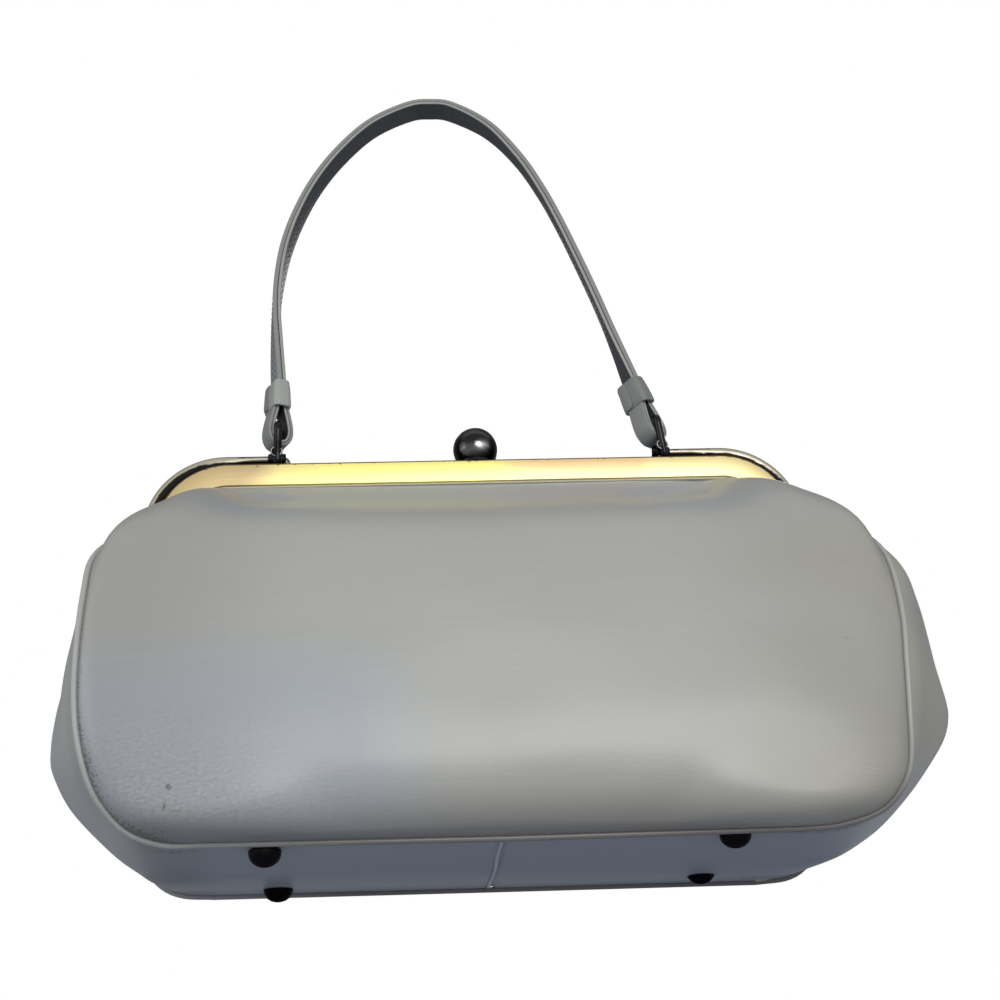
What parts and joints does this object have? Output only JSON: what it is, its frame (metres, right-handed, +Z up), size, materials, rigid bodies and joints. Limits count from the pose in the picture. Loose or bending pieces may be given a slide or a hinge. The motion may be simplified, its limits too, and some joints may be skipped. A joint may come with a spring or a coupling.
{
  "type": "kiss lock frame purse",
  "caption": "Grey leather frame purse that stands on domed feet, with a hinged gold frame, a ball kiss lock and a strap handle on wire links.",
  "frame": {"origin": "middle of the bounding box on the surface that the feet stand on", "axes": "+X to the right seen from the front, +Y to the back, +Z up; the front faces -Y"},
  "size_m": [0.3146, 0.0998, 0.3312],
  "materials": {
    "grey_leather": "smooth light grey calf, faint scuffs and hairline grain",
    "strap_leather": "grey strap leather with dark painted edges",
    "pale_gold": "polished pale gold plate, lightly tarnished",
    "dark_chrome": "polished gunmetal",
    "black_enamel": "black gloss enamel",
    "steel": "plain steel",
    "paper_cord": "twisted paper cord",
    "board": "grey-brown stiffener board",
    "lining": "matt woven lining"
  },
  "bodies": {
    "bag_body": {"front_panel": "grey_leather", "back_panel": "grey_leather", "gusset_left": "grey_leather", "gusset_right": "grey_leather", "front_piping": "grey_leather", "back_piping": "grey_leather", "bottom_seam_strip": "grey_leather", "bottom_board": "board", "lining_front": "lining", "lining_back": "lining", "lining_left": "lining", "lining_right": "lining", "lining_floor": "lining", "inner_pocket": "lining", "hinge_pin_left": "steel", "hinge_pin_right": "steel", "foot_front_left": "black_enamel", "foot_washer_front_left": "steel", "foot_front_right": "black_enamel", "foot_washer_front_right": "steel", "foot_rear_left": "black_enamel", "foot_washer_rear_left": "steel", "foot_rear_right": "black_enamel", "foot_washer_rear_right": "steel"},
    "front_frame": {"front_frame_rail": "pale_gold", "front_clamp_cord": "paper_cord", "front_ball_half": "dark_chrome", "snap_stud": "dark_chrome", "front_panel_top": "grey_leather"},
    "rear_frame": {"rear_frame_rail": "pale_gold", "rear_clamp_cord": "paper_cord", "rear_ball_half": "dark_chrome", "snap_socket": "dark_chrome", "handle_wire_left": "pale_gold", "handle_wire_right": "pale_gold", "back_panel_top": "grey_leather"},
    "handle": {"handle_link_left": "black_enamel", "handle_link_right": "black_enamel", "handle_loop_left": "strap_leather", "handle_loop_right": "strap_leather", "handle_keeper_left": "strap_leather", "handle_keeper_right": "strap_leather", "handle_strap_outer": "strap_leather", "handle_strap_inner": "strap_leather"}
  },
  "joints": [
    {"name": "front_open", "type": "hinge", "parent": "bag_body", "child": "front_frame", "pos_m": [0, 0, 0.114], "axis": [1, 0, 0], "range_deg": [0, 45], "deforming": ["front_panel_top"]},
    {"name": "rear_open", "type": "hinge", "parent": "bag_body", "child": "rear_frame", "pos_m": [0, 0, 0.114], "axis": [1, 0, 0], "range_deg": [-45, 0], "deforming": ["back_panel_top"]},
    {"name": "handle_swing", "type": "hinge", "parent": "rear_frame", "child": "handle", "pos_m": [0, 0.0035, 0.1593], "axis": [1, 0, 0], "range_deg": [-85, 85]}
  ],
  "couplings": [
    {"joint": "rear_open", "follows": "front_open", "ratio": -1}
  ]
}
